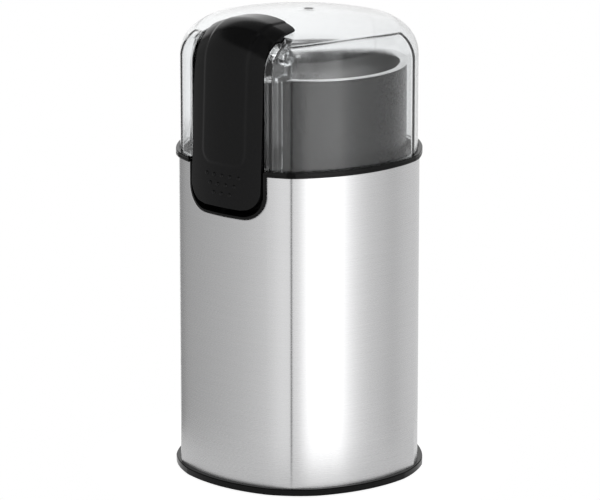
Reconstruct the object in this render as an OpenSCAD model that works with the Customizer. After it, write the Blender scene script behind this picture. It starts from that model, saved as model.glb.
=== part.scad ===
// Electric spice grinder: a five-sided bulged steel body, a clear lift-off lid and a
// black press lever that is hinged in the lid and closes a switch in the body.
// The lever faces -Y. The underside of the feet is z = 0. Millimetres.

/* [Body] */
// Distance from the centre to a corner crease of the steel sleeve
corner_r = 45.8; // [45.4:0.1:46.4]
// How far a face bulges out of the straight line between its two creases
face_bulge = 6.85; // [6.2:0.05:7.6]
// Thickness of the steel sleeve
sleeve_t = 0.8; // [0.6:0.1:1.0]
// Height of the underside of the top trim ring
sleeve_top = 121; // [116:0.5:128]

/* [Trim rings] */
// How far the top trim ring stands out of the sleeve
top_ring_out = 1.1; // [0.8:0.1:1.6]
// Height of the top trim ring
top_ring_h = 2.1; // [2.0:0.1:3.4]
// How far the base ring stands out of the sleeve
base_ring_out = 1.9; // [1.2:0.1:2.4]
// Height of the base ring
base_ring_h = 2.6; // [2.4:0.1:4.0]
// How far the rounded corners of the rings stand out of the creases
ring_corner_out = 0.9; // [0.7:0.1:1.1]
// Wall of the ring lips that hold the sleeve
lip_t = 1.8; // [1.4:0.1:2.2]

/* [Base] */
// How far the rubber feet lift the base ring
foot_proud = 0.8; // [0.5:0.1:2.0]
// Radius of a rubber foot
foot_r = 4; // [3:0.5:5]
// Thickness of the base plate
base_plate_t = 2; // [1.6:0.1:3.0]
// Width of one cooling slot in the base plate
vent_w = 2.4; // [1.6:0.1:3.0]
// Radius of the cord hole in the cord bush
cord_hole_r = 2.8; // [2.2:0.1:3.4]

/* [Bowl] */
// Clearance of the bowl housing to the lid, at the lever's channel and at the back
housing_gap = 0.5; // [0.4:0.05:1.5]
// Wall of the bowl housing
housing_t = 1.8; // [1.4:0.1:2.4]
// Height of the bowl housing above the deck
housing_h = 33.4; // [28:0.2:35]
// Thickness of the steel of the grinding bowl
bowl_t = 0.8; // [0.6:0.1:1.0]
// Radius of the rounded bottom corner inside the bowl
bowl_corner = 8; // [5:0.5:10]

/* [Blade] */
// Clearance between the blade tips and the wall of the bowl
blade_gap = 4.7; // [2.5:0.1:9]
// Width of a blade arm
blade_w = 9; // [7:0.5:11]
// Thickness of the blade
blade_t = 1.4; // [1.0:0.1:2.0]
// Radius of the motor shaft
shaft_r = 2.5; // [2.0:0.1:3.0]

/* [Motor] */
// Outer radius of the laminated stator
stator_r = 28; // [27:0.5:29]
// Height of the lamination stack
stack_h = 30; // [24:1:34]
// Radius of the armature
armature_r = 15.6; // [14.5:0.1:16]
// Number of armature slots
armature_slots = 12; // [8:2:16]
// Number of fan blades
fan_blades = 9; // [7:1:12]

/* [Lid] */
// Thickness of the clear lid
lid_t = 2; // [1.6:0.1:2.2]
// Height of the lid above the underside of the top trim ring
lid_h = 52.5; // [50:0.5:56]
// Radius of the lid's shoulder
shoulder_r = 11.5; // [9:0.5:13]
// Radius of the domed top of the lid
dome_r = 155; // [130:1:220]
// Clearance between the lid wall and the bead of the top ring
lid_gap = 0.4; // [0.3:0.05:0.6]

/* [Lever] */
// Width of the press lever
lever_w = 33; // [30:0.5:34]
// Wall of the lever
lever_t = 2.2; // [1.8:0.1:2.6]
// How far the lower end of the lever reaches below the underside of the top trim ring
lever_drop = 13.5; // [12:0.5:16]
// Radius of the lever where it turns over the lid's shoulder
lever_bend_r = 14.5; // [13:0.5:15]
// Radius across the lever where it turns over, which rounds off its upper corners
crown_r = 23; // [20:0.5:28]
// Outward lean of the lever at rest, in degrees
lever_lean = 2.5; // [2:0.1:3]
// Travel of the lever when it is pressed, in degrees
press_angle = 3.5; // [3:0.1:4]
// Side clearance of the lever in its channel
lever_gap = 0.8; // [0.5:0.1:1.2]
// Radius of the lever's hinge pin
pin_r = 1.2; // [1.0:0.1:1.5]
// Radius of a grip dot on the lever
dot_r = 0.7; // [0.5:0.1:0.9]

/* [Switch] */
// Depth of the lever's recess behind the middle of the front face
recess_depth = 10.5; // [10:0.1:10.8]
// Radius of the switch plunger
plunger_r = 2.4; // [1.8:0.1:2.8]
// Height of the switch plunger above the lower end of the lever
plunger_up = 5.5; // [4:0.5:7]
// Running clearance of pins and shafts
run_gap = 0.05; // [0.02:0.01:0.08]
// Clearance between moving pieces
move_gap = 0.3; // [0.25:0.05:0.4]

/* [Hidden] */

$fn = 96;
eps = 0.01;
far = 80;                         // longer than any cut needs to be
fit = 0.05;                       // clearance between fixed pieces
faces = 5;                        // bulged faces round the body
step_a = 360 / faces;

// The bulge of one face: its radius and how far its axis lies behind the centre
apothem = corner_r * cos(step_a / 2);
half_face = corner_r * sin(step_a / 2);
face_r = apothem + face_bulge;
bulge_r = (half_face * half_face + face_bulge * face_bulge) / (2 * face_bulge);
bulge_c = bulge_r - face_r;

// Heights, from the table upwards
base_ring_z = foot_proud;
base_plate_up = 0.6;
sleeve_seat = 0.8;
lid_seat = 0.7;
ring_in = 0.2;
base_plate_z = base_ring_z + base_plate_up;
base_plate_top = base_plate_z + base_plate_t;
sleeve_z = base_ring_z + base_ring_h - sleeve_seat;
ledge_z = sleeve_top + top_ring_h - lid_seat;
groove_z = sleeve_top + sleeve_seat;
lid_top = sleeve_top + lid_h;
lever_bottom = sleeve_top - lever_drop;
plunger_z = lever_bottom + plunger_up;
deck_t = 3;
deck_z = sleeve_top - deck_t;
rim_z = sleeve_top + housing_h;
bowl_seat = 2.6;
bowl_z = sleeve_top + bowl_seat;
lid_z = ledge_z + move_gap;
lid_off = -lid_gap - ring_in;
gate_r = 1.6;
gate_depth = 0.3;

// Lever and its channel
channel_w = lever_w + 2 * lever_gap;
channel_t = 1.4;
lid_wall_y = face_r + lid_off;
shoulder_rise = 0.08;             // how far the shoulder stands through the dome
shoulder_z = lid_top - dome_r + shoulder_rise
    + sqrt(pow(dome_r - shoulder_r, 2) - pow(lid_wall_y - shoulder_r, 2));
shoulder_a = asin((lid_wall_y - shoulder_r) / (dome_r - shoulder_r));
lever_in = 0.8;
lever_over = 1.5;
bend_y = -(lid_wall_y - lever_in) + lever_bend_r;
bend_z = lid_top + lever_over - lever_bend_r;
pin_back = 11.3;
pin_down = 11.5;
pin_y = -(lid_wall_y - lever_in) + pin_back;
pin_z = lid_top + lever_over - pin_down;
crown_rise = 0.15;                // how far the crown stands off the middle of the bend
ear_r = pin_r + 1.3;
boss_r = pin_r + 1.6;
boss_h = 2.2;
pin_half = channel_w / 2 + channel_t + boss_h;
pocket_back = pin_y + ear_r + move_gap;
pocket_z = rim_z + housing_gap + channel_t;
lever_arm = pin_z - plunger_z;
press_travel = lever_arm * sin(press_angle);
panel_w = 20.6;
panel_z = lever_bottom + 15.6;
panel_rise = 0.35;
panel_corner = 5;
dot_rise = 0.4;
dot_pitch = 3.8;
dot_row = 3.35;
dot_z = lever_bottom + 5;
lever_corner = 8;
dome_gap = 0.5;
rear_r = 80;
rear_y = -20;

// Recess in the body
recess_t = 0.9;
recess_w = channel_w + 2 * recess_t;
recess_back = -(face_r - recess_depth);
recess_under = 3.5;
recess_z = lever_bottom - recess_under;
recess_corner = 9.5;
recess_wall = 1.4;
recess_proud = 0.25;
plunger_out = 5;
tip_y = recess_back - plunger_out;
striker_len = 1.2;
collar_r = plunger_r + 1.2;
collar_t = 1;
collar_y = recess_back + recess_wall + move_gap;
switch_y = collar_y + collar_t + press_travel + move_gap;
switch_depth = 7.5;
switch_h = 9;
switch_w = 20;
striker_r = 2.2;

// Bowl and motor axis: the housing keeps the same clearance to the lid's channel in front and to
// the two rear walls of the lid, whose bulge axes lie at (side_x, side_y) from the centre
rim_out = 0.3;
front_reach = -recess_back - channel_t - housing_gap - rim_out;
side_x = bulge_c * sin(step_a / 2);
side_y = bulge_c * cos(step_a / 2);
rear_reach = bulge_r + lid_off - lid_t - housing_gap - rim_out - front_reach;
axis_off = (rear_reach * rear_reach - side_x * side_x - side_y * side_y)
    / (2 * (rear_reach + side_y));
housing_r = front_reach + axis_off;
bowl_r = housing_r - housing_t - fit;
blade_r = bowl_r - bowl_t - blade_gap;

// Motor stack, hung under the deck
mount_h = 11;
bracket_t = 3;
bracket_top = deck_z - mount_h;
bracket_r = 22;
mount_ring_r = 16.5;
mount_r = 3.8;
mount_angles = [-45, 45, 135, 225];
hub_r = 8;
bush_r = 5.5;
bush_h = 8;
fan_h = 6;
fan_z = bracket_top - bracket_t - 4 - fan_h;
winding_h = 7;
stack_top = fan_z - winding_h - 1.4;
stack_z = stack_top - stack_h;
window_r = stator_r - 4;
bore_r = armature_r + 0.6;
bolt_r = 1.5;
bolt_ring = stator_r - 2.4;
lower_gap = 24;
lower_z = stack_z - lower_gap;
lower_t = 3;
comm_r = 7;
comm_h = 10;
comm_z = lower_z + lower_t + 3;
brush_z = comm_z + comm_h / 2;
brush_w = 5;
brush_h = 6;
brush_len = 11;
holder_t = 1.2;
holder_len = 15;
shaft_z = lower_z - 5;
blade_z = bowl_z + bowl_t + 5;
nut_h = 5;
seal_r = 5;
seal_flange = 7;
seal_top = bowl_z + bowl_t + 1.5;
screw_r = 1.4;
vent_rows = 4;
gland_z = 16;
gland_turn = 3 * step_a;
gland_neck_r = cord_hole_r + 1.6;
gland_flange_r = gland_neck_r + 1.8;
gland_flange_t = 1.6;
gland_out = 6;
lug_w = 8;
lug_h = 3;
arm_w = 6.8;
post_r = 2.9;
base_screw_ring = face_r - 17;
base_screw_angles = [-90, 30, 150];
foot_ring = face_r - sleeve_t - lip_t - foot_r - 2.3;
terminal_w = 22;
terminal_d = 9;
terminal_h = 11;
terminal_y = corner_r - 22;
terminal_hole = 2;

// ---- shapes shared by several pieces ----

// Intersection of one shape per face, each turned about the centre
module each_face() {
    intersection_for (k = [0 : faces - 1])
        rotate([0, 0, k * step_a])
            translate([0, bulge_c, 0])
                children();
}

// Bulged five-sided prism, grown by off
module prism(off, z0, z1) {
    each_face()
        translate([0, 0, z0])
            cylinder(r = bulge_r + off, h = z1 - z0);
}

module on_axis() {
    translate([0, axis_off, 0])
        children();
}

module tube(r_out, r_in, z0, z1) {
    difference() {
        translate([0, 0, z0])
            cylinder(r = r_out, h = z1 - z0);
        translate([0, 0, z0 - 1])
            cylinder(r = r_in, h = z1 - z0 + 2);
    }
}

// Cylinder along X, centred on x = 0
module bar_x(r, half) {
    rotate([0, 90, 0])
        translate([0, 0, -half])
            cylinder(r = r, h = 2 * half);
}

// Cylinder along +Y from y0 to y1
module bar_y(r, y0, y1) {
    translate([0, y0, 0])
        rotate([-90, 0, 0])
            cylinder(r = r, h = y1 - y0);
}

// U outline in the XZ plane, open towards +Z, extruded along Y
module u_block(w, z0, z1, corner, y0, y1) {
    translate([0, y1, 0])
        rotate([90, 0, 0])
            linear_extrude(height = y1 - y0)
                union() {
                    translate([-w / 2, z0 + corner])
                        square([w, z1 - z0 - corner]);
                    translate([-w / 2 + corner, z0])
                        square([w - 2 * corner, corner + eps]);
                    for (s = [-1, 1])
                        translate([s * (w / 2 - corner), z0 + corner])
                            intersection() {
                                circle(r = corner);
                                translate([-corner, -corner])
                                    square([2 * corner, corner + eps]);
                            }
                }
}

// Everything the recess cup takes out of the sleeve, the ring and the deck
module recess_cut() {
    u_block(recess_w + 2 * fit, recess_z - fit, lid_top + 20, recess_corner + fit,
        -far, recess_back + recess_wall + fit);
}

// ---- body ----

module body_sleeve() {
    color("silver")
        difference() {
            prism(0, sleeve_z + fit, groove_z - fit);
            prism(-sleeve_t, sleeve_z - 1, groove_z + 1);
            recess_cut();
            gland_place()
                bar_y(gland_neck_r + fit, face_r - 8, face_r + 8);
        }
}

// Five-sided band with rounded corners, whose outer edges are eased by a small step
module eased_band(out, z0, z1, ease) {
    for (e = [[ease, 0], [0, ease]])
        intersection() {
            prism(out - e[0], z0 + e[1], z1 - e[1]);
            translate([0, 0, z0 - 1])
                cylinder(r = corner_r + ring_corner_out - e[0], h = z1 - z0 + 2);
        }
}

module top_ring() {
    top = sleeve_top + top_ring_h;
    mid = sleeve_top + top_ring_h / 2;
    bead_ease = 0.25;
    color("dimgray")
        difference() {
            union() {
                eased_band(top_ring_out, sleeve_top, mid + eps, bead_ease);
                eased_band(top_ring_out, mid - eps, top, bead_ease);
            }
            prism(-lip_t - sleeve_t - 0.3, sleeve_top - 1, top + 1);
            prism(-ring_in, ledge_z, top + 1);
            difference() {
                prism(fit, sleeve_top - 1, groove_z);
                prism(-sleeve_t - fit, sleeve_top - 2, groove_z + 1);
            }
            recess_cut();
        }
}

module switch_recess() {
    y0 = -far;
    back = recess_back + recess_wall;
    color("black")
        difference() {
            intersection() {
                u_block(recess_w, recess_z, ledge_z, recess_corner, y0, back);
                prism(recess_proud, recess_z - 1, ledge_z + 1);
            }
            u_block(channel_w, recess_z + recess_t, ledge_z + 5,
                recess_corner - recess_t, y0 - 1, recess_back);
            translate([0, 0, plunger_z])
                bar_y(plunger_r + run_gap, y0, back + 1);
        }
}

module bowl_housing() {
    edge_r = 0.9;
    color("dimgray")
        difference() {
            union() {
                prism(-sleeve_t - fit, deck_z, sleeve_top);
                on_axis() {
                    tube(housing_r, bowl_r + fit, sleeve_top - eps, rim_z - bowl_t - edge_r);
                    tube(housing_r - edge_r, bowl_r + fit, rim_z - bowl_t - edge_r - eps,
                        rim_z - bowl_t);
                    translate([0, 0, rim_z - bowl_t - edge_r])
                        rotate_extrude()
                            translate([housing_r - edge_r, 0])
                                circle(r = edge_r);
                    tube(seal_r + 6, seal_r, deck_z, bowl_z);
                }
            }
            recess_cut();
            on_axis() {
                translate([0, 0, deck_z - 1])
                    cylinder(r = seal_r + fit, h = 20);
                for (a = mount_angles)
                    rotate([0, 0, a])
                        translate([mount_ring_r, 0, deck_z - 1])
                            cylinder(r = screw_r + fit, h = deck_t);
            }
        }
}

// Half outline of a cup of radius r with a rounded lower edge, from z0 to z1
module cup_profile(r, corner, z0, z1) {
    translate([0, z0])
        square([r - corner, z1 - z0]);
    translate([0, z0 + corner])
        square([r, z1 - z0 - corner]);
    translate([r - corner, z0 + corner])
        circle(r = corner);
}

module grinding_bowl() {
    color("lightgray")
        on_axis()
            rotate_extrude()
                difference() {
                    union() {
                        cup_profile(bowl_r, bowl_corner, bowl_z, rim_z);
                        translate([0, rim_z - bowl_t])
                            square([housing_r + rim_out, bowl_t]);
                    }
                    cup_profile(bowl_r - bowl_t, bowl_corner - bowl_t, bowl_z + bowl_t, rim_z + 20);
                    translate([0, bowl_z - 1])
                        square([seal_r + fit, 5]);
                }
}

module shaft_seal() {
    color("black")
        on_axis()
            difference() {
                union() {
                    translate([0, 0, deck_z])
                        cylinder(r = seal_r, h = seal_top - deck_z);
                    translate([0, 0, bowl_z + bowl_t])
                        cylinder(r = seal_flange, h = seal_top - bowl_z - bowl_t);
                }
                translate([0, 0, deck_z - 1])
                    cylinder(r = shaft_r + run_gap, h = 30);
            }
}

// ---- base ----

module base_ring() {
    edge = 0.3;
    color("black")
        difference() {
            union() {
                eased_band(base_ring_out, base_ring_z, base_ring_z + base_ring_h, edge);
                prism(-sleeve_t - fit, base_ring_z, base_ring_z + base_ring_h + 5);
            }
            difference() {
                prism(-sleeve_t - lip_t, base_ring_z - 1, base_ring_z + base_ring_h + 9);
                // Lugs that the base plate is screwed to
                for (a = base_screw_angles)
                    rotate([0, 0, a])
                        translate([base_screw_ring - lug_w / 2, -lug_w / 2, base_plate_top])
                            cube([corner_r, lug_w, lug_h]);
            }
            difference() {
                prism(fit, sleeve_z, base_ring_z + base_ring_h + 1);
                prism(-sleeve_t - fit, sleeve_z - 1, base_ring_z + base_ring_h + 2);
            }
            for (a = base_screw_angles)
                rotate([0, 0, a])
                    translate([base_screw_ring, 0, base_plate_top - 1])
                        cylinder(r = screw_r + fit, h = 5);
        }
}

module base_plate() {
    color("dimgray")
        difference() {
            prism(-sleeve_t - lip_t - fit, base_plate_z, base_plate_top);
            for (i = [-vent_rows : vent_rows])
                translate([i * 2 * vent_w - vent_w / 2, -12, base_plate_z - 1])
                    cube([vent_w, 24, base_plate_t + 2]);
            for (a = base_screw_angles)
                rotate([0, 0, a])
                    translate([base_screw_ring, 0, base_plate_z - 1]) {
                        cylinder(r = screw_r + fit, h = base_plate_t + 2);
                        cylinder(r = 2 * screw_r + fit, h = 1 + base_plate_t / 2);
                    }
            for (k = [0 : faces - 1])
                rotate([0, 0, k * step_a - 90])
                    translate([foot_ring, 0, base_plate_z - 1])
                        cylinder(r = foot_r + fit, h = 1 + base_plate_t / 2);
        }
}

module base_screws() {
    color("silver")
        for (a = base_screw_angles)
            rotate([0, 0, a])
                translate([base_screw_ring, 0, base_plate_z])
                    difference() {
                        union() {
                            translate([0, 0, 0.2])
                                cylinder(r = 2 * screw_r, h = base_plate_t / 2 - 0.2);
                            cylinder(r = screw_r, h = base_plate_t + 2.8);
                        }
                        for (t = [0, 90])
                            rotate([0, 0, t])
                                translate([-screw_r * 1.3, -0.3, -0.5])
                                    cube([screw_r * 2.6, 0.6, 1.2]);
                    }
}

module rubber_feet() {
    color("black")
        for (k = [0 : faces - 1])
            rotate([0, 0, k * step_a - 90])
                translate([foot_ring, 0, 0])
                    cylinder(r = foot_r, h = base_plate_z + base_plate_t / 2);
}

// Places a shape drawn for the +Y side on the face where the cord leaves the body
module gland_place() {
    rotate([0, 0, gland_turn + 180])
        translate([0, 0, gland_z])
            children();
}

module cord_bush() {
    // The sleeve bulges, so the inner flange bears a little further in
    inside = face_r - sleeve_t - 0.6;
    color("black")
        gland_place()
            difference() {
                union() {
                    bar_y(gland_neck_r, inside - 2 * gland_flange_t, face_r + gland_out);
                    bar_y(gland_flange_r, face_r, face_r + gland_flange_t);
                    bar_y(gland_flange_r, inside - gland_flange_t, inside);
                }
                bar_y(cord_hole_r, face_r - 12, face_r + 12);
            }
}

// ---- motor, fixed pieces ----

module mount_holes(z, h, r) {
    for (a = mount_angles)
        rotate([0, 0, a])
            translate([mount_ring_r, 0, z])
                cylinder(r = r, h = h);
}

module bolt_places() {
    for (s = [-1, 1])
        translate([s * bolt_ring, 0, 0])
            children();
}

// Round plate with an arm out to each through bolt
module bracket_plate(z, h) {
    translate([0, 0, z])
        cylinder(r = bracket_r, h = h);
    translate([-bolt_ring, -arm_w / 2, z])
        cube([2 * bolt_ring, arm_w, h]);
}

module upper_bracket() {
    z0 = bracket_top - bracket_t;
    color("gainsboro")
        on_axis()
            difference() {
                union() {
                    bracket_plate(z0, bracket_t);
                    translate([0, 0, z0 - 1])
                        cylinder(r = hub_r, h = bush_h + 1);
                    bolt_places() {
                        translate([0, 0, z0])
                            cylinder(r = post_r, h = bracket_t);
                        translate([0, 0, stack_top])
                            cylinder(r = 2.6, h = z0 - stack_top + eps);
                    }
                }
                translate([0, 0, z0 - 2])
                    cylinder(r = bush_r + fit, h = 30);
                mount_holes(z0 - 1, bracket_t + 2, screw_r + fit);
                bolt_places()
                    translate([0, 0, stack_top - 1])
                        cylinder(r = bolt_r + fit, h = far);
            }
}

module lower_bracket() {
    color("dimgray")
        on_axis()
            difference() {
                union() {
                    bracket_plate(lower_z, lower_t);
                    translate([0, 0, lower_z - 4])
                        cylinder(r = hub_r, h = bush_h - 2);
                    bolt_places()
                        translate([0, 0, lower_z])
                            cylinder(r = post_r, h = stack_z - lower_z);
                }
                translate([0, 0, lower_z - 6])
                    cylinder(r = bush_r + fit, h = 30);
                bolt_places()
                    translate([0, 0, lower_z - 1])
                        cylinder(r = bolt_r + fit, h = far);
            }
}

module bush(z, h) {
    color("darkgoldenrod")
        on_axis()
            tube(bush_r, shaft_r + run_gap, z, z + h);
}

module upper_bearing() {
    bush(bracket_top - bracket_t, bush_h);
}

module lower_bearing() {
    bush(lower_z - 3.5, bush_h - 2.5);
}

module rubber_mounts() {
    color("black")
        on_axis()
            difference() {
                union() {
                    mount_holes(bracket_top, mount_h, mount_r - 0.8);
                    mount_holes(bracket_top, 3, mount_r);
                    mount_holes(deck_z - 3, 3, mount_r);
                }
                mount_holes(bracket_top - 1, mount_h + 2, screw_r + fit);
            }
}

module mount_screws() {
    z0 = bracket_top - bracket_t;
    color("silver")
        on_axis() {
            mount_holes(z0 - 1.8, 1.8, 2 * screw_r);
            mount_holes(z0 - 1, bracket_t + mount_h + 2.5, screw_r);
        }
}

module motor_bolts() {
    z0 = lower_z - 2;
    z1 = bracket_top;
    color("silver")
        on_axis()
            bolt_places() {
                translate([0, 0, z0])
                    cylinder(r = bolt_r, h = z1 - z0 + 1);
                translate([0, 0, z0])
                    cylinder(r = 2 * bolt_r, h = 2, $fn = 6);
                translate([0, 0, z1])
                    cylinder(r = 2 * bolt_r, h = 2);
            }
}

module stator_core() {
    color("gray")
        on_axis()
            difference() {
                translate([0, 0, stack_z])
                    cylinder(r = stator_r, h = stack_h);
                translate([0, 0, stack_z - 1])
                    cylinder(r = bore_r, h = stack_h + 2);
                // Coil windows in front of and behind the armature
                intersection() {
                    translate([0, 0, stack_z - 1])
                        cylinder(r = window_r, h = stack_h + 2);
                    translate([-11, -window_r, stack_z - 1])
                        cube([22, 2 * window_r, stack_h + 2]);
                }
                bolt_places()
                    translate([0, 0, stack_z - 1])
                        cylinder(r = bolt_r + fit, h = stack_h + 2);
            }
}

module field_coils() {
    end_h = 4;
    slack = 0.3;
    color("peru")
        on_axis()
            for (s = [0, 180])
                rotate([0, 0, s])
                    difference() {
                        intersection() {
                            tube(window_r - 1.5, bore_r + 0.8, stack_z - end_h, stack_top + end_h);
                            translate([0.8, -stator_r, stack_z - end_h - 1])
                                cube([stator_r, 2 * stator_r, stack_h + 2 * end_h + 2]);
                        }
                        translate([11 - slack, -stator_r, stack_z - slack])
                            cube([stator_r, 2 * stator_r, stack_h + 2 * slack]);
                    }
}

module brush_frame(w, h, x0, x1) {
    for (s = [0, 180])
        rotate([0, 0, s])
            translate([x0, -w / 2, brush_z - h / 2])
                cube([x1 - x0, w, h]);
}

module brush_holders() {
    x0 = comm_r + 2;
    x1 = x0 + holder_len - 3;
    w = brush_w + 2 * holder_t;
    color("saddlebrown")
        on_axis()
            rotate([0, 0, 90])
                difference() {
                    union() {
                        brush_frame(w, brush_h + 2 * holder_t, x0, x1);
                        for (s = [0, 180])
                            rotate([0, 0, s])
                                translate([x0, -w / 2, lower_z + lower_t])
                                    cube([x1 - x0, w, brush_z - lower_z - lower_t]);
                    }
                    brush_frame(brush_w + 2 * fit, brush_h + 2 * fit, 0, x1 - holder_t);
                }
}

module carbon_brushes() {
    color("black")
        on_axis()
            rotate([0, 0, 90])
                brush_frame(brush_w, brush_h, comm_r + 0.1, comm_r + brush_len - 4);
}

module brush_springs() {
    x0 = comm_r + brush_len - 4;
    x1 = comm_r + holder_len - 1 - holder_t;
    color("silver")
        on_axis()
            rotate([0, 0, 90])
                brush_frame(brush_w - 2, brush_h - 3, x0, x1);
}

// ---- switch and wiring ----

module switch_body() {
    lug_w = 3;
    color("dimgray")
        difference() {
            union() {
                translate([-switch_w / 2, switch_y, plunger_z - switch_h / 2 - 1])
                    cube([switch_w, switch_depth, switch_h]);
                // Side arms that carry the switch on the back of the recess cup
                for (s = [-1, 1])
                    translate([s * (switch_w / 2 - lug_w / 2) - lug_w / 2,
                        recess_back + recess_wall, plunger_z - switch_h / 2 - 1])
                        cube([lug_w, switch_y - recess_back - recess_wall + eps, switch_h]);
            }
            translate([0, 0, plunger_z])
                bar_y(plunger_r + run_gap, switch_y - 1, switch_y + switch_depth - 1);
        }
}

module terminal_block() {
    color("ivory")
        difference() {
            translate([-terminal_w / 2, terminal_y, base_plate_top])
                cube([terminal_w, terminal_d, terminal_h]);
            for (s = [-1, 1])
                translate([s * terminal_w / 4, terminal_y + terminal_d / 2, base_plate_top + 4])
                    cylinder(r = terminal_hole, h = terminal_h);
        }
}

module switch_plunger() {
    end_y = switch_y + switch_depth - 1 - press_travel - move_gap;
    color("darkred")
        translate([0, 0, plunger_z]) {
            bar_y(plunger_r, tip_y, end_y);
            bar_y(collar_r, collar_y, collar_y + collar_t);
        }
}

// ---- spinning pieces ----

module motor_shaft() {
    color("silver")
        on_axis()
            translate([0, 0, shaft_z])
                cylinder(r = shaft_r, h = blade_z + blade_t + nut_h - 1 - shaft_z);
}

module armature_core() {
    color("gray")
        on_axis()
            difference() {
                tube(armature_r, shaft_r, stack_z, stack_top);
                for (k = [0 : armature_slots - 1])
                    rotate([0, 0, k * 360 / armature_slots])
                        translate([armature_r - 3, 0, stack_z - 1])
                            cylinder(r = 1.6, h = stack_h + 2);
            }
}

module winding_end(z0, z1) {
    mid = armature_r - 5.2;
    translate([0, 0, z0])
        rotate_extrude()
            union() {
                translate([shaft_r + 1, 0])
                    square([mid - shaft_r + 2, z1 - z0]);
                translate([mid + 1, 0])
                    square([2.8, z1 - z0 - 2]);
                translate([mid + 1, z1 - z0 - 2.8])
                    circle(r = 2.8);
            }
}

module armature_windings() {
    color("chocolate")
        on_axis() {
            intersection() {
                winding_end(stack_top, stack_top + winding_h);
                translate([0, 0, stack_top])
                    cylinder(r = armature_r, h = winding_h);
            }
            intersection() {
                translate([0, 0, 2 * stack_z])
                    mirror([0, 0, 1])
                        winding_end(stack_z, stack_z + winding_h);
                translate([0, 0, stack_z - winding_h])
                    cylinder(r = armature_r, h = winding_h);
            }
            for (k = [0 : armature_slots - 1])
                rotate([0, 0, k * 360 / armature_slots])
                    translate([armature_r - 3, 0, stack_z - 1])
                        cylinder(r = 1.5, h = stack_h + 2);
        }
}

module commutator() {
    bars = 12;
    color("peru")
        on_axis()
            difference() {
                tube(comm_r, shaft_r, comm_z, comm_z + comm_h);
                for (k = [0 : bars - 1])
                    rotate([0, 0, k * 360 / bars])
                        translate([comm_r - 0.8, -0.25, comm_z - 1])
                            cube([2, 0.5, comm_h]);
            }
}

module cooling_fan() {
    fan_r = bracket_r - 1;
    color("white")
        on_axis()
            difference() {
                union() {
                    translate([0, 0, fan_z])
                        cylinder(r = fan_r, h = 1.2);
                    translate([0, 0, fan_z])
                        cylinder(r = 6, h = fan_h);
                    for (k = [0 : fan_blades - 1])
                        rotate([0, 0, k * 360 / fan_blades])
                            translate([8, -0.6, fan_z + 1])
                                cube([fan_r - 9, 1.2, fan_h - 1]);
                }
                translate([0, 0, fan_z - 1])
                    cylinder(r = shaft_r, h = fan_h + 2);
            }
}

module blade_washer() {
    color("silver")
        on_axis()
            tube(5, shaft_r, seal_top + move_gap, blade_z);
}

// Corners of a blade arm seen from its edge: flat to reach, then bent by a degrees
function arm_points(reach, tip, a) = [
    [reach, 0],
    [reach + tip * cos(a), tip * sin(a)],
    [reach + tip * cos(a) - blade_t * sin(a), tip * sin(a) + blade_t * cos(a)],
    [reach - blade_t * tan(a / 2), blade_t]
];

// One tip is bent up and the other is bent down
module blade() {
    tip = 9;
    up = arm_points(blade_r - tip, tip, 14);
    down = arm_points(blade_r - tip, tip, -10);
    left = [for (i = [3 : -1 : 0]) [-down[i][0], down[i][1]]];
    color("lightsteelblue")
        on_axis()
            translate([0, 0, blade_z])
                difference() {
                    union() {
                        cylinder(r = blade_w / 2 + 1, h = blade_t);
                        translate([0, blade_w / 2, 0])
                            rotate([90, 0, 0])
                                linear_extrude(height = blade_w)
                                    polygon(concat(up, left));
                    }
                    translate([0, 0, -1])
                        cylinder(r = shaft_r, h = blade_t + 2);
                }
}

module blade_nut() {
    z0 = blade_z + blade_t;
    color("silver")
        on_axis()
            difference() {
                union() {
                    translate([0, 0, z0])
                        cylinder(r = 4.6, h = nut_h - 1.5, $fn = 6);
                    translate([0, 0, z0])
                        cylinder(r = 3.9, h = nut_h);
                }
                translate([0, 0, z0 - 1])
                    cylinder(r = shaft_r, h = nut_h);
            }
}

// ---- lid ----

// Upright wall and round shoulder of one lid face, as a solid of revolution. Above the point
// where the shoulder meets the dome the profile is open up to the lid's top.
module lid_profile(off, z0) {
    r = bulge_r + off;
    inset = shoulder_r + min(off - lid_off, 0);
    translate([0, z0])
        square([r, shoulder_z - z0]);
    translate([0, z0])
        square([r - inset + inset * sin(shoulder_a), lid_top - z0]);
    translate([r - inset, shoulder_z])
        circle(r = inset);
}

// Ball that the domed top is part of, with its poles at the sides
module dome(r) {
    translate([0, 0, lid_top - dome_r])
        rotate([90, 0, 0])
            sphere(r = r, $fn = 200);
}

module lid_solid(off, z0) {
    drop = lid_off - off;
    intersection() {
        each_face()
            rotate_extrude()
                lid_profile(off, z0);
        dome(dome_r - drop);
    }
}

module lid() {
    half = channel_w / 2;
    color("lightblue", 0.35)
        difference() {
            union() {
                difference() {
                    lid_solid(lid_off, lid_z);
                    lid_solid(lid_off - lid_t, lid_z - 5);
                }
                intersection() {
                    lid_solid(lid_off, lid_z);
                    union() {
                        translate([-half - channel_t, -far, lid_z])
                            cube([2 * (half + channel_t), far + recess_back + channel_t, far]);
                        translate([-half - channel_t, -far, pocket_z - channel_t])
                            cube([2 * (half + channel_t), far + pocket_back + channel_t, far]);
                        translate([0, pin_y, pin_z])
                            bar_x(boss_r, pin_half);
                    }
                }
            }
            translate([-half, -far, lid_z - 1])
                cube([channel_w, far + recess_back, far + 2]);
            translate([-half, -far, pocket_z])
                cube([channel_w, far + pocket_back, far]);
            translate([0, pin_y, pin_z])
                bar_x(pin_r + 0.02, pin_half + 5);
            // Gate mark in the middle of the domed top
            translate([0, axis_off, lid_top - gate_depth])
                cylinder(r = gate_r, h = 2);
        }
}

module hinge_pin() {
    color("silver")
        translate([0, pin_y, pin_z])
            bar_x(pin_r, pin_half - 1);
}

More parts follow.
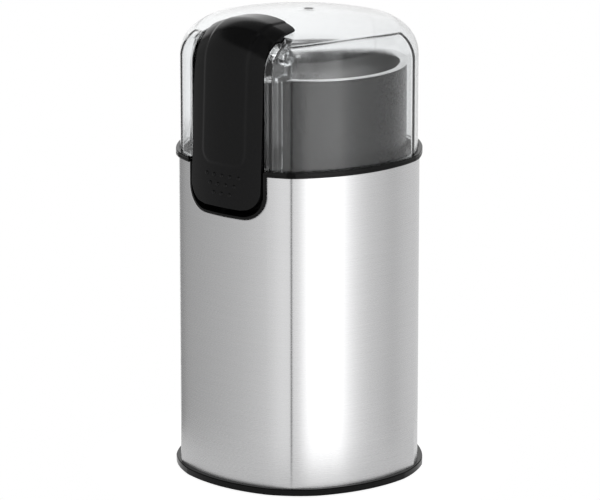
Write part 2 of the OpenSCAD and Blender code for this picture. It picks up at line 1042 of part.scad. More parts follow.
// Bent strip: its foot lies on the channel's back wall and its leg bears on the lever
module lever_spring() {
    strip_t = 0.4;
    strip_w = 8;
    foot_h = 12;
    leg = 20;
    lean = 19;
    bend_at = pin_z - 18;
    front = recess_back - strip_t;
    tip = [front - leg * sin(lean), bend_at - leg * cos(lean)];
    color("silver")
        translate([-strip_w / 2, 0, 0])
            rotate([90, 0, 90])
                linear_extrude(height = strip_w)
                    polygon([
                        [recess_back, bend_at + foot_h],
                        [front, bend_at + foot_h],
                        [front, bend_at],
                        tip,
                        tip + strip_t * [cos(lean), -sin(lean)],
                        [recess_back, bend_at - strip_t * tan(lean / 2)]
                    ]);
}

// Cross-section of the lever: a bulged bar that reaches r from the bend axis
module lever_section(r, w) {
    intersection() {
        translate([0, bulge_r - r])
            circle(r = bulge_r);
        translate([-w / 2, -r])
            square([w, r]);
    }
}

// The lever's bulged form, shrunk by d: arm, bend and top
module lever_form(d) {
    r = lever_bend_r - d;
    w = lever_w - 2 * max(d, 0);
    arm = 75;
    top = 22;
    intersection() {
        translate([0, bend_y, bend_z])
            rotate([-lever_lean, 0, 0]) {
                translate([0, 0, -arm])
                    linear_extrude(height = arm)
                        lever_section(r, w + 4);
                rotate([0, 90, 0])
                    rotate([0, 0, 180])
                        rotate_extrude(angle = 90)
                            rotate([0, 0, 90])
                                lever_section(r, w + 4);
                rotate([-90, 0, 0])
                    linear_extrude(height = top)
                        lever_section(r, w + 4);
            }
        u_block(w, lever_bottom + max(d, 0), lid_top + 20, lever_corner - max(d, 0), -far, 20);
        // Crown across the bend, which rounds off the upper corners
        translate([0, bend_y, bend_z])
            rotate([45, 0, 0])
                translate([0, 0, lever_bend_r + crown_rise - crown_r])
                    union() {
                        rotate([90, 0, 0])
                            translate([0, 0, -far])
                                cylinder(r = crown_r - d, h = 2 * far);
                        translate([-crown_r + d, -far, -far])
                            cube([2 * (crown_r - d), 2 * far, far]);
                    }
        // Rear edge of the lever, an arc on top of the lid
        translate([0, -rear_r + rear_y - max(d, 0), 0])
            cylinder(r = rear_r, h = lid_top + far);
    }
}

module press_lever() {
    lower_back = tip_y - striker_len;
    swing = (pin_z - pocket_z) * tan(press_angle);
    arm_back = recess_back - move_gap - swing;
    ear_x = lever_w / 2 - lever_t - 1.5;
    color("#181818")
        difference() {
            union() {
                difference() {
                    union() {
                        lever_form(0);
                        intersection() {
                            lever_form(-panel_rise);
                            u_block(panel_w, panel_z, lid_top + 20, panel_corner, -far, 20);
                        }
                    }
                    lever_form(lever_t);
                    // Open back of the arm, and of the lower end inside the recess
                    translate([0, arm_back, pocket_z + 1])
                        rotate([-press_angle, 0, 0])
                            translate([-far / 2, 0, -far])
                                cube([far, far, far]);
                    translate([-far / 2, lower_back, lever_bottom - 1])
                        cube([far, far, ledge_z + 2 - lever_bottom]);
                    translate([-far / 2, pocket_back - move_gap - swing, pocket_z - 2])
                        cube([far, far, bend_z + 7 - pocket_z + 2]);
                    // The rear edge stays just above the domed lid
                    intersection() {
                        dome(dome_r + dome_gap);
                        translate([-far / 2, pocket_back - move_gap, pocket_z])
                            cube([far, far, far]);
                    }
                }
                intersection() {
                    lever_form(0);
                    difference() {
                        translate([0, pin_y, pin_z])
                            bar_x(ear_r, lever_w / 2);
                        translate([-ear_x, -far, pin_z - far / 2])
                            cube([2 * ear_x, far, far]);
                    }
                }
                // Striker that meets the switch plunger
                intersection() {
                    translate([0, 0, plunger_z])
                        bar_y(striker_r, -far, tip_y - move_gap);
                    lever_form(0.5);
                }
                grip_dots();
            }
            translate([0, pin_y, pin_z])
                bar_x(pin_r + run_gap, far / 2);
        }
}

// Three rows of round grip dots on the lower end, widest at the top
module grip_dots() {
    for (row = [0 : 2])
        for (i = [0 : row + 2]) {
            x = (i - (row + 2) / 2) * dot_pitch;
            z = dot_z + row * dot_row;
            front = lever_front(x, z);
            translate([x, 0, z])
                bar_y(dot_r, front - dot_rise, front + 1);
        }
}

// y of the lever's front surface at x and z on the straight arm
function lever_front(x, z) =
    bend_y - (lever_bend_r - bulge_r + sqrt(bulge_r * bulge_r - x * x)) / cos(lever_lean)
    - (bend_z - z) * tan(lever_lean);

body_sleeve();
top_ring();
switch_recess();
bowl_housing();
grinding_bowl();
shaft_seal();
base_ring();
base_plate();
base_screws();
rubber_feet();
cord_bush();
upper_bracket();
lower_bracket();
upper_bearing();
lower_bearing();
rubber_mounts();
mount_screws();
motor_bolts();
stator_core();
field_coils();
brush_holders();
carbon_brushes();
brush_springs();
switch_body();
terminal_block();
motor_shaft();
armature_core();
armature_windings();
commutator();
cooling_fan();
blade_washer();
blade();
blade_nut();
lid();
hinge_pin();
lever_spring();
press_lever();
switch_plunger();
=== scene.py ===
# Electric spice grinder: a five-sided bulged steel body, a clear lift-off lid and a black press
# lever hinged in the lid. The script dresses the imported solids, in metres, in their own frame.
import math

import bmesh
import bpy
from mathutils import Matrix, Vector


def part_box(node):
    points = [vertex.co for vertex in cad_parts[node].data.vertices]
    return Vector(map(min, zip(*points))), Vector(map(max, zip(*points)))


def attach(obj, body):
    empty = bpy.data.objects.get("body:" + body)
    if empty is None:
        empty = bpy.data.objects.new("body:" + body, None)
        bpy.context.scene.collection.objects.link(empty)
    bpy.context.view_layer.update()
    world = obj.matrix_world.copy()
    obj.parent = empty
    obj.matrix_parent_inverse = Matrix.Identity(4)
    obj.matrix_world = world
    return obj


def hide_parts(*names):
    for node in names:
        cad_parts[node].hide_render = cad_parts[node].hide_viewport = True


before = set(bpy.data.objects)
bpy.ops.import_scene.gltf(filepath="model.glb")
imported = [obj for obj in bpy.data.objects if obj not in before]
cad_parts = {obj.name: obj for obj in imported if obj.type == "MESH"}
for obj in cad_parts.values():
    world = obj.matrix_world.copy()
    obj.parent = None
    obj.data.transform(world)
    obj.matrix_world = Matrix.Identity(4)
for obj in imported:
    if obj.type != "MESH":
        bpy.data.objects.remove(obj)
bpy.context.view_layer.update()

# ---- camera ----
# The photograph is taken from the right of the lever, a little above the lid, with a long lens.
VIEW_TURN = math.radians(40)
VIEW_AWAY = 1.55
VIEW_HEIGHT = 0.4953
LOOK_AT = Vector((0, 0, 0.0822))
LENS = 257.7

camera = bpy.data.objects.new("camera", bpy.data.cameras.new("camera"))
bpy.context.scene.collection.objects.link(camera)
bpy.context.scene.camera = camera
camera.location = (VIEW_AWAY * math.sin(VIEW_TURN), -VIEW_AWAY * math.cos(VIEW_TURN), VIEW_HEIGHT)
camera.rotation_euler = (LOOK_AT - camera.location).to_track_quat("-Z", "Y").to_euler()
camera.data.sensor_width = 36
camera.data.lens = LENS
camera.data.clip_start = 0.05
camera.data.clip_end = 30
bpy.context.scene.view_settings.view_transform = "Standard"

# ---- studio ----
# White floor and surroundings, and a ring of soft light: a bright band to the right of the camera,
# a white wall behind the grinder and greyer sides, which draw the bands down the steel.
FLOOR_R = 0.08
FLOOR_PAINT = 0.4
FLOOR_GLOW = 0.92
FLOOR_SIDES = 64
# How much of its glow the floor shows in mirrors and through glass
FLOOR_SEEN_BY = (("Is Glossy Ray", 0.7), ("Is Transmission Ray", 1))

floor_mesh = bpy.data.meshes.new("floor")
floor_mesh.from_pydata(
    [(FLOOR_R * math.cos(math.tau * k / FLOOR_SIDES), FLOOR_R * math.sin(math.tau * k / FLOOR_SIDES), 0)
     for k in range(FLOOR_SIDES)], [], [range(FLOOR_SIDES)])
floor = bpy.data.objects.new("floor", floor_mesh)
bpy.context.scene.collection.objects.link(floor)
floor_white = bpy.data.materials.new("floor")
floor_white.use_nodes = True
tree = floor_white.node_tree
tree.nodes.clear()
floor_out = tree.nodes.new("ShaderNodeOutputMaterial")
floor_card = tree.nodes.new("ShaderNodeBsdfDiffuse")
floor_card.inputs["Color"].default_value = (FLOOR_PAINT, FLOOR_PAINT, FLOOR_PAINT, 1)
floor_shine = tree.nodes.new("ShaderNodeEmission")
floor_shine.inputs["Color"].default_value = (FLOOR_GLOW, FLOOR_GLOW, FLOOR_GLOW, 1)
floor_rays = tree.nodes.new("ShaderNodeLightPath")
seen = floor_rays.outputs["Is Camera Ray"]
for kind, share in FLOOR_SEEN_BY:
    part = tree.nodes.new("ShaderNodeMath")
    part.operation = "MULTIPLY"
    part.inputs[1].default_value = share
    either = tree.nodes.new("ShaderNodeMath")
    either.operation = "MAXIMUM"
    tree.links.new(floor_rays.outputs[kind], part.inputs[0])
    tree.links.new(seen, either.inputs[0])
    tree.links.new(part.outputs[0], either.inputs[1])
    seen = either.outputs[0]
floor_both = tree.nodes.new("ShaderNodeAddShader")
for source, target in (
        (seen, floor_shine.inputs["Strength"]),
        (floor_card.outputs[0], floor_both.inputs[0]),
        (floor_shine.outputs[0], floor_both.inputs[1]),
        (floor_both.outputs[0], floor_out.inputs["Surface"])):
    tree.links.new(source, target)
floor_mesh.materials.append(floor_white)

# Light from all round: degrees to the right of the camera, and how bright it is there
RING_OF_LIGHT = (
    (-180, 1.0), (-150, 1.1), (-138, 0.22), (-128, 0.54), (-100, 0.63), (-80, 0.7), (-60, 0.8),
    (-42, 0.94), (-34, 1.16), (-28, 1.26), (-22, 1.16), (-13, 0.34), (0, 0.34), (11, 1.1), (22, 2.2),
    (44, 2.2), (52, 1.55), (60, 1.2), (70, 0.96), (84, 0.82), (94, 0.72), (106, 0.82), (130, 0.94),
    (150, 0.75), (170, 0.8), (180, 1.0))
BRIGHTEST = 2.2
# Heights in degrees between which the walls give way to a dimmer ceiling, and its share of their light
CEILING_FROM = 32
CEILING_FULL = 38
CEILING_LIGHT = 0.3
# How white the surroundings are when they are seen through glass
WHITE_THROUGH_GLASS = 0.2

world = bpy.data.worlds.new("studio")
bpy.context.scene.world = world
world.use_nodes = True
sky = world.node_tree
sky.nodes.clear()
sky_place = sky.nodes.new("ShaderNodeTexCoord")
sky_turn = sky.nodes.new("ShaderNodeMapping")
sky_turn.inputs["Rotation"].default_value[2] = math.radians(90) - VIEW_TURN
sky_round = sky.nodes.new("ShaderNodeTexGradient")
sky_round.gradient_type = "RADIAL"
sky_ramp = sky.nodes.new("ShaderNodeValToRGB")
stops = sky_ramp.color_ramp.elements
while len(stops) < len(RING_OF_LIGHT):
    stops.new(0.5)
for stop, (degrees, light) in zip(stops, RING_OF_LIGHT):
    stop.position = degrees / 360 + 0.5
    stop.color = [light / BRIGHTEST] * 3 + [1]
sky_light = sky.nodes.new("ShaderNodeBackground")
sky_split = sky.nodes.new("ShaderNodeSeparateXYZ")
sky_above = sky.nodes.new("ShaderNodeMapRange")
for limit, value in (
        ("From Min", math.sin(math.radians(CEILING_FROM))),
        ("From Max", math.sin(math.radians(CEILING_FULL))),
        ("To Min", BRIGHTEST),
        ("To Max", BRIGHTEST * CEILING_LIGHT)):
    sky_above.inputs[limit].default_value = value
sky_white = sky.nodes.new("ShaderNodeBackground")
sky_white.inputs["Color"].default_value = (1, 1, 1, 1)
sky_rays = sky.nodes.new("ShaderNodeLightPath")
sky_glass = sky.nodes.new("ShaderNodeMath")
sky_glass.operation = "MULTIPLY"
sky_glass.inputs[1].default_value = WHITE_THROUGH_GLASS
sky_seen = sky.nodes.new("ShaderNodeMath")
sky_seen.operation = "MAXIMUM"
sky_mix = sky.nodes.new("ShaderNodeMixShader")
sky_out = sky.nodes.new("ShaderNodeOutputWorld")
for source, target in (
        (sky_place.outputs["Generated"], sky_turn.inputs["Vector"]),
        (sky_turn.outputs["Vector"], sky_round.inputs["Vector"]),
        (sky_place.outputs["Generated"], sky_split.inputs["Vector"]),
        (sky_split.outputs["Z"], sky_above.inputs["Value"]),
        (sky_above.outputs["Result"], sky_light.inputs["Strength"]),
        (sky_round.outputs["Fac"], sky_ramp.inputs["Fac"]),
        (sky_ramp.outputs["Color"], sky_light.inputs["Color"]),
        (sky_rays.outputs["Is Transmission Ray"], sky_glass.inputs[0]),
        (sky_rays.outputs["Is Camera Ray"], sky_seen.inputs[0]),
        (sky_glass.outputs[0], sky_seen.inputs[1]),
        (sky_seen.outputs[0], sky_mix.inputs["Fac"]),
        (sky_light.outputs[0], sky_mix.inputs[1]),
        (sky_white.outputs[0], sky_mix.inputs[2]),
        (sky_mix.outputs[0], sky_out.inputs["Surface"])):
    sky.links.new(source, target)


# ---- steel sleeve ----
# Five-sided tube of 0.8 mm stainless steel, bulged, brushed round the body, bent and laser welded at
# the back, with a U cut-out for the lever.
def material(name):
    """New material with its node tree and its shader."""
    mat = bpy.data.materials.new(name)
    mat.use_nodes = True
    return mat, mat.node_tree, mat.node_tree.nodes["Principled BSDF"]


def noise(tree, size, stretch=(1, 1, 1), detail=3.0):
    """Noise whose spots are about size metres, drawn out by stretch along each axis."""
    place = tree.nodes.new("ShaderNodeTexCoord")
    scale = tree.nodes.new("ShaderNodeMapping")
    scale.inputs["Scale"].default_value = [1 / (size * s) for s in stretch]
    spots = tree.nodes.new("ShaderNodeTexNoise")
    spots.inputs["Scale"].default_value = 1.0
    spots.inputs["Detail"].default_value = detail
    tree.links.new(place.outputs["Object"], scale.inputs["Vector"])
    tree.links.new(scale.outputs["Vector"], spots.inputs["Vector"])
    return spots.outputs["Fac"]


# Part of the noise's range that is drawn out to a finish's whole range
NOISE_LOW = 0.3
NOISE_HIGH = 0.7


def spread(tree, source, low, high, socket):
    """Drives a number socket between low and high by a 0 to 1 source."""
    ramp = tree.nodes.new("ShaderNodeMapRange")
    for limit, value in (("From Min", NOISE_LOW), ("From Max", NOISE_HIGH),
                         ("To Min", low), ("To Max", high)):
        ramp.inputs[limit].default_value = value
    tree.links.new(source, ramp.inputs["Value"])
    tree.links.new(ramp.outputs["Result"], socket)


def shades(tree, source, dark, light, socket):
    """Drives a colour socket between two colours by a 0 to 1 source."""
    ramp = tree.nodes.new("ShaderNodeValToRGB")
    for stop, position, colour in zip(ramp.color_ramp.elements, (NOISE_LOW, NOISE_HIGH), (dark, light)):
        stop.position = position
        stop.color = (*colour, 1)
    tree.links.new(source, ramp.inputs["Fac"])
    tree.links.new(ramp.outputs["Color"], socket)


ROUNDING_SAMPLES = 12


def bumps(tree, shader, source, depth, rounding=0.0):
    """Raises the surface by depth metres where the source is high, and softens its edges."""
    bump = tree.nodes.new("ShaderNodeBump")
    bump.inputs["Strength"].default_value = 1.0
    bump.inputs["Distance"].default_value = depth
    tree.links.new(source, bump.inputs["Height"])
    if rounding:
        edge = tree.nodes.new("ShaderNodeBevel")
        edge.samples = ROUNDING_SAMPLES
        edge.inputs["Radius"].default_value = rounding
        tree.links.new(edge.outputs["Normal"], bump.inputs["Normal"])
    tree.links.new(bump.outputs["Normal"], shader.inputs["Normal"])


# Brush lines: their size, how far they are drawn out, their depth, and a quarter turn that lays
# the highlights across them
BRUSH_LINE = 0.0007
BRUSH_STRETCH = (24, 24, 0.25)
BRUSH_DEPTH = 0.0000003
BRUSH_TURN = 0.25


def brushed_steel(name, dark, light, low, high, pull=0.85, rounding=0.0):
    """Steel with fine brush lines round it, which pull its highlights upright."""
    mat, tree, shader = material(name)
    lines = noise(tree, BRUSH_LINE, BRUSH_STRETCH, detail=4.0)
    shader.inputs["Metallic"].default_value = 1.0
    shader.inputs["Anisotropic"].default_value = pull
    shader.inputs["Anisotropic Rotation"].default_value = BRUSH_TURN
    shades(tree, lines, dark, light, shader.inputs["Base Color"])
    spread(tree, lines, low, high, shader.inputs["Roughness"])
    bumps(tree, shader, lines, BRUSH_DEPTH, rounding)
    turn = tree.nodes.new("ShaderNodeTangent")
    turn.direction_type = "RADIAL"
    turn.axis = "Z"
    tree.links.new(turn.outputs["Tangent"], shader.inputs["Tangent"])
    return mat


def dress(mat, *nodes):
    """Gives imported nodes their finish."""
    for node in nodes:
        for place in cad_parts[node].material_slots:
            place.material = mat


# Radius of the bends between the sleeve's faces
CREASE_R = 0.0013
sleeve_steel = brushed_steel("sleeve_steel", (0.565, 0.565, 0.57), (0.6, 0.6, 0.605), 0.26, 0.29,
                             rounding=CREASE_R)
dress(sleeve_steel, "body_sleeve")


# ---- trim rings and base ----
# Gloss black moulded rings that hold the sleeve at its top and foot, with the base plate, its
# screws, five rubber feet and the bush where the cord leaves.
def moulded(name, dark, light, low, high, size=0.0012, depth=0.000004):
    """Moulded plastic or rubber: an even colour with a faint grain and slightly uneven gloss."""
    mat, tree, shader = material(name)
    grain = noise(tree, size)
    shades(tree, grain, dark, light, shader.inputs["Base Color"])
    spread(tree, grain, low, high, shader.inputs["Roughness"])
    bumps(tree, shader, grain, depth)
    return mat


def sheen(mat, level):
    """Sets how strongly a plastic mirrors; 0.5 is usual."""
    mat.node_tree.nodes["Principled BSDF"].inputs["Specular IOR Level"].default_value = level


def plated(name, dark, light, low, high, size=0.004, depth=0.000002):
    """Bare or plated metal with soft, uneven gloss."""
    mat, tree, shader = material(name)
    cloud = noise(tree, size)
    shader.inputs["Metallic"].default_value = 1.0
    shades(tree, cloud, dark, light, shader.inputs["Base Color"])
    spread(tree, cloud, low, high, shader.inputs["Roughness"])
    bumps(tree, shader, cloud, depth)
    return mat


ring_black = moulded("ring_black", (0.0025, 0.0025, 0.0025), (0.004, 0.004, 0.004), 0.1, 0.14,
                     0.002, 0.000002)
sheen(ring_black, 0.14)
base_black = moulded("base_black", (0.02, 0.02, 0.02), (0.028, 0.028, 0.028), 0.5, 0.6)
rubber = moulded("rubber", (0.018, 0.018, 0.018), (0.026, 0.026, 0.026), 0.65, 0.8)
screw_steel = plated("screw_steel", (0.55, 0.55, 0.55), (0.68, 0.68, 0.68), 0.22, 0.34)
dress(ring_black, "top_ring", "base_ring")
dress(base_black, "base_plate")
dress(rubber, "rubber_feet", "cord_bush", "shaft_seal", "rubber_mounts")
dress(screw_steel, "base_screws", "mount_screws", "motor_bolts", "brush_springs", "lever_spring",
      "hinge_pin", "blade_nut", "motor_shaft")

# ---- bowl ----
# Dark grey satin deck and round wall, with the deep-drawn steel bowl set in it and the two-armed
# blade on the motor shaft.
housing_grey = moulded("housing_grey", (0.006, 0.006, 0.0064), (0.009, 0.009, 0.0095), 0.24, 0.29)
sheen(housing_grey, 0.16)
bowl_steel = brushed_steel("bowl_steel", (0.6, 0.6, 0.6), (0.68, 0.68, 0.68), 0.09, 0.15, 0.4)
blade_steel = plated("blade_steel", (0.6, 0.6, 0.61), (0.72, 0.72, 0.73), 0.15, 0.28, 0.002)
dress(housing_grey, "bowl_housing")

# The bowl is deep drawn from one sheet, with a round lip and a thin flat rim over the housing's wall
SEAL_HOLE_R = 0.0072
RIM_WIDE = 0.003
RIM_THIN = 0.0004
LIP_R = 0.0012
SHEET_T = 0.0008
DRAWN_CORNER = 0.008
WALL_T = SHEET_T * 0.9
FLOOR_T = SHEET_T * 0.95
BOWL_TURNS = 128
bowl_low, bowl_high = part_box("grinding_bowl")
bowl_axis = (bowl_low[1] + bowl_high[1]) / 2
bowl_floor = bowl_low[2] + SHEET_T
bowl_top = bowl_high[2]
rim_r = bowl_high[0]
wall_r = rim_r - RIM_WIDE


def arc(steps, quarters=1):
    """Sine and cosine of steps + 1 even turns over a number of quarter circles."""
    turns = [k * quarters * math.pi / 2 / steps for k in range(steps + 1)]
    return [(math.sin(turn), math.cos(turn)) for turn in turns]


profile = [(SEAL_HOLE_R, bowl_floor)]
profile += [(wall_r - DRAWN_CORNER * (1 - out), bowl_floor + DRAWN_CORNER * (1 - up))
            for out, up in arc(12)]
profile += [(wall_r + LIP_R * (1 - up), bowl_top - LIP_R * (1 - out)) for out, up in arc(8)]
profile += [(rim_r - RIM_THIN / 2 * (1 - out), bowl_top - RIM_THIN / 2 * (1 - up))
            for out, up in arc(8, 2)]
profile += [(wall_r + LIP_R, bowl_top - RIM_THIN), (wall_r + WALL_T, bowl_top - LIP_R - SHEET_T)]
profile += [(wall_r - DRAWN_CORNER + (DRAWN_CORNER + WALL_T) * out,
             bowl_floor + DRAWN_CORNER - (DRAWN_CORNER + FLOOR_T) * up) for out, up in arc(12)[::-1]]
profile += [(SEAL_HOLE_R, bowl_floor - FLOOR_T)]


def joined(shape, rings, closed=True):
    """Faces between neighbouring rings of points; a closed ring goes on from its end to its start."""
    for low, high in rings:
        count = len(low)
        for k in range(count if closed else count - 1):
            after = (k + 1) % count
            if len(high) == 1:
                shape.faces.new((low[k], low[after], high[0]))
            else:
                shape.faces.new((low[k], low[after], high[after], high[k]))


def finished(shape, name, finish):
    """New smooth piece made of a shape, with its finish."""
    bmesh.ops.recalc_face_normals(shape, faces=shape.faces)
    mesh = bpy.data.meshes.new(name)
    shape.to_mesh(mesh)
    shape.free()
    for face in mesh.polygons:
        face.use_smooth = True
    mesh.materials.append(finish)
    piece = bpy.data.objects.new(name, mesh)
    bpy.context.scene.collection.objects.link(piece)
    return piece


drawn = bmesh.new()
hoops = []
for wide, high in profile:
    turns = [k * math.tau / BOWL_TURNS for k in range(BOWL_TURNS)]
    hoops.append([drawn.verts.new((wide * math.cos(turn), bowl_axis + wide * math.sin(turn), high))
                  for turn in turns])
joined(drawn, zip(hoops, hoops[1:] + hoops[:1]))
bowl = finished(drawn, "drawn_bowl", bowl_steel)
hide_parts("grinding_bowl")
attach(bowl, "body")
dress(blade_steel, "blade", "blade_washer")

# ---- motor and switch ----
# Universal motor hung from the deck on rubber dampers, with its fan, brushes and push switch.
cast_alloy = plated("cast_alloy", (0.5, 0.5, 0.51), (0.62, 0.62, 0.63), 0.4, 0.55)
laminations = plated("laminations", (0.16, 0.16, 0.17), (0.24, 0.24, 0.25), 0.45, 0.6)
copper = plated("copper", (0.5, 0.19, 0.07), (0.62, 0.26, 0.1), 0.3, 0.45)
bronze = plated("bronze", (0.42, 0.27, 0.1), (0.52, 0.35, 0.15), 0.4, 0.5)
carbon = moulded("carbon", (0.03, 0.03, 0.03), (0.05, 0.05, 0.05), 0.6, 0.75)
inner_grey = moulded("inner_grey", (0.06, 0.06, 0.062), (0.08, 0.08, 0.082), 0.45, 0.55)
fan_white = moulded("fan_white", (0.68, 0.68, 0.65), (0.75, 0.75, 0.72), 0.4, 0.5)
block_ivory = moulded("block_ivory", (0.62, 0.58, 0.46), (0.7, 0.66, 0.54), 0.4, 0.5)
plunger_red = moulded("plunger_red", (0.22, 0.012, 0.01), (0.28, 0.018, 0.014), 0.3, 0.4)
dress(cast_alloy, "upper_bracket")
dress(laminations, "stator_core", "armature_core")
dress(copper, "field_coils", "armature_windings", "commutator")
dress(bronze, "upper_bearing", "lower_bearing", "brush_holders")
dress(carbon, "carbon_brushes")
dress(inner_grey, "lower_bracket", "switch_body")
dress(fan_white, "cooling_fan")
dress(block_ivory, "terminal_block")
dress(plunger_red, "switch_plunger")
dress(ring_black, "switch_recess")

# ---- lid ----
# Clear moulded cover with a round shoulder, a shallow domed top and an open channel for the lever.
LID_IOR = 1.45
LID_WAVE = 0.0000005
LID_EDGE_R = 0.0016
lid_clear, lid_tree, lid_shader = material("lid_clear")
lid_shader.inputs["Base Color"].default_value = (0.97, 0.98, 0.985, 1)
lid_shader.inputs["Transmission Weight"].default_value = 1.0
lid_shader.inputs["IOR"].default_value = LID_IOR
lid_haze = noise(lid_tree, 0.004)
spread(lid_tree, lid_haze, 0.0, 0.02, lid_shader.inputs["Roughness"])
bumps(lid_tree, lid_shader, lid_haze, LID_WAVE, LID_EDGE_R)
dress(lid_clear, "lid")

# ---- lever ----
# Press lever moulded in black plastic: a bulged bar, turned over the lid's shoulder, with a raised
# panel, grip dots at its lower end and side walls that the steel hinge pin goes through.
# The lever's own sizes are in millimetres.
MM = 0.001
BEND_R = 14.5
BEND_BEHIND_PIN = 3.2
BEND_BELOW_PIN = 3
LEAN = math.radians(-2.5)
# Radius across the lever, by distance from the start of the bend
CROWN = ((-60, 56.3), (-4, 56.3), (0, 50), (5, 40), (11.4, 34), (17, 34), (22.8, 40), (31, 46))
PANEL_HALF = 10.3
PANEL_FOOT = 15.6
PANEL_CORNER = 5
PANEL_RISE = 0.3
PANEL_FLANK = 0.7
FOOT_CORNER = 8
REAR_CORNER = 2.5
REAR_BOW_R = 80
# Thickness of the moulding, width of its softened edges, and how sharp an edge is to be softened
LEVER_T = 1.6
LEVER_EDGE = 1.1
LEVER_EDGE_FROM = math.radians(40)
lever_low, lever_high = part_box("press_lever")
pin_low, pin_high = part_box("hinge_pin")
pin_y = (pin_low[1] + pin_high[1]) / 2 / MM
pin_z = (pin_low[2] + pin_high[2]) / 2 / MM
lever_half = lever_high[0] / MM
lever_foot = lever_low[2] / MM
bend_y = pin_y + BEND_BEHIND_PIN
bend_z = pin_z - BEND_BELOW_PIN
arm_len = (bend_z - lever_foot + BEND_R * math.sin(-LEAN)) / math.cos(LEAN)
bend_len = BEND_R * math.pi / 2
top_len = lever_high[1] / MM - bend_y
lever_len = arm_len + bend_len + top_len


def crown_at(u):
    """Radius across the lever at u mm past the start of the bend."""
    for (u0, r0), (u1, r1) in zip(CROWN, CROWN[1:]):
        if u <= u1:
            share = (u - u0) / (u1 - u0)
            return 1 / ((1 - share) / r0 + share / r1)
    return CROWN[-1][1]


def inside_panel(x, along):
    """How far a point of the lever lies inside the raised panel's edge."""
    side = PANEL_HALF - abs(x)
    foot = along - PANEL_FOOT
    if side < PANEL_CORNER and foot < PANEL_CORNER:
        return PANEL_CORNER - math.hypot(PANEL_CORNER - side, PANEL_CORNER - foot)
    return min(side, foot)


def lever_skin(x, along, lift=0.0):
    """Point of the lever's outer face: x across and along from the lower end, in mm."""
    u = along - arm_len
    if u < 0:
        y, z, out_y, out_z = -BEND_R, u, -1, 0
    elif u < bend_len:
        turn = u / BEND_R
        out_y, out_z = -math.cos(turn), math.sin(turn)
        y, z = BEND_R * out_y, BEND_R * out_z
    else:
        y, z, out_y, out_z = u - bend_len, BEND_R, 0, 1
    crown = crown_at(u)
    sink = crown - math.sqrt(crown ** 2 - x ** 2) - lift
    edge = min(max(inside_panel(x, along) / PANEL_FLANK, 0), 1)
    sink -= PANEL_RISE * edge * edge * (3 - 2 * edge)
    y -= out_y * sink
    z -= out_z * sink
    return Vector((x, bend_y + y * math.cos(LEAN) - z * math.sin(LEAN),
                   bend_z + y * math.sin(LEAN) + z * math.cos(LEAN))) * MM


# The side walls go back into the lid's channel, and rest on its top past the pin
GRIP_WALL_HIGH = 16
GRIP_WALL_Y = -39.6
ARM_WALL_BELOW_PIN = 7
ARM_WALL_Y = -34.1
ARM_WALL_FROM = 6.2
PRESS = math.radians(3.5)
EAR_BEHIND = 1.1
EAR_SPAN = 12
EAR_HIGH = 12.6
LID_TOP_R = 155
LID_GAP = 0.5
lid_top_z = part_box("lid")[1][2] / MM - LID_TOP_R


def lever_wall(point):
    """Where the side wall that starts at an edge point ends, behind or below it."""
    x, y, z = point / MM
    if z < lever_foot + GRIP_WALL_HIGH:
        return Vector((x, GRIP_WALL_Y, z)) * MM
    if z < pin_z - ARM_WALL_BELOW_PIN:
        return Vector((x, ARM_WALL_Y - (pin_z - ARM_WALL_FROM - z) * math.tan(PRESS), z)) * MM
    if y < bend_y - EAR_BEHIND:
        rise = min(max((z - pin_z + ARM_WALL_BELOW_PIN) / EAR_SPAN, 0), 1)
        return Vector((x, bend_y - EAR_BEHIND, pin_z - ARM_WALL_BELOW_PIN + rise * EAR_HIGH)) * MM
    return Vector((x, y, lid_top_z + math.sqrt((LID_TOP_R + LID_GAP) ** 2 - x ** 2 - y ** 2))) * MM


def half_width(along):
    """Half width of the lever at a distance from its lower end, with rounded corners."""
    half = lever_half
    for corner, near in ((FOOT_CORNER, along), (REAR_CORNER, lever_len - along)):
        if near < corner:
            half = min(half, lever_half - corner + math.sqrt(corner ** 2 - (corner - near) ** 2))
    return half


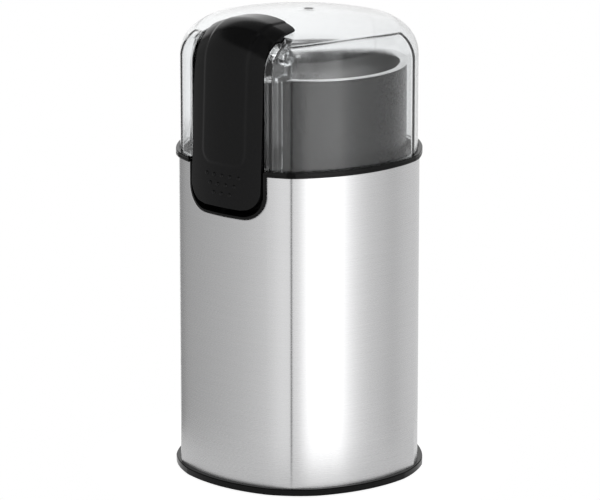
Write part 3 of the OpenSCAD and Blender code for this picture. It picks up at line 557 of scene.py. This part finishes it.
ROWS, COLUMNS = 150, 60
skin = bmesh.new()
grid = []
for i in range(ROWS + 1):
    along = lever_len * i / ROWS
    half = half_width(along)
    line = []
    for j in range(COLUMNS + 1):
        x = half * (2 * j / COLUMNS - 1)
        bow = x ** 2 / (2 * REAR_BOW_R) * max(0, (along - arm_len - bend_len) / top_len)
        line.append(skin.verts.new(lever_skin(x, along - bow)))
    grid.append(line)
joined(skin, zip(grid, grid[1:]), closed=False)
walls = bmesh.ops.extrude_edge_only(skin, edges=[edge for edge in skin.edges if edge.is_boundary])
for vert in [v for v in walls["geom"] if isinstance(v, bmesh.types.BMVert)]:
    vert.co = lever_wall(vert.co)

lever_black = moulded("lever_black", (0.0022, 0.0022, 0.0024), (0.0036, 0.0036, 0.0038), 0.15, 0.21,
                      0.0009)
sheen(lever_black, 0.16)
lever = finished(skin, "lever_skin", lever_black)
shell = lever.modifiers.new("shell", "SOLIDIFY")
shell.thickness = LEVER_T * MM
shell.offset = -1
soften = lever.modifiers.new("soften", "BEVEL")
soften.width = LEVER_EDGE * MM
soften.segments = 4
soften.limit_method = "ANGLE"
soften.angle_limit = LEVER_EDGE_FROM
soften.use_clamp_overlap = True
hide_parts("press_lever")
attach(lever, "lever")

# Grip dots in rows of three, four and five, the widest row at the top
DOT_R = 0.8
DOT_RISE = 0.5
DOT_SUNK = 0.1
DOT_PITCH = 3.8
DOT_ROW = 3.35
DOT_FOOT = 5
DOT_SIDES = 14
DOT_STEPS = 4
dots = bmesh.new()
for row in range(3):
    for i in range(row + 3):
        x = (i - (row + 2) / 2) * DOT_PITCH
        along = DOT_FOOT + row * DOT_ROW
        middle = lever_skin(x, along)
        up = (lever_skin(x, along, 1) - middle).normalized()
        across = (lever_skin(x + 0.1, along) - lever_skin(x - 0.1, along)).normalized()
        other = up.cross(across)
        rings = []
        for rise, spans in arc(DOT_STEPS):
            wide = DOT_R * spans * MM
            lift = (DOT_RISE * rise - (0 if rings else DOT_SUNK)) * MM
            points = DOT_SIDES if len(rings) < DOT_STEPS else 1
            turns = [k * math.tau / DOT_SIDES for k in range(points)]
            rings.append([dots.verts.new(
                middle + up * lift + across * wide * math.cos(turn) + other * wide * math.sin(turn))
                for turn in turns])
        joined(dots, zip(rings, rings[1:]))
grip = finished(dots, "grip_dots", lever_black)
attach(grip, "lever")

# Brings the scene up to date after the last pieces are placed
bpy.context.view_layer.update()
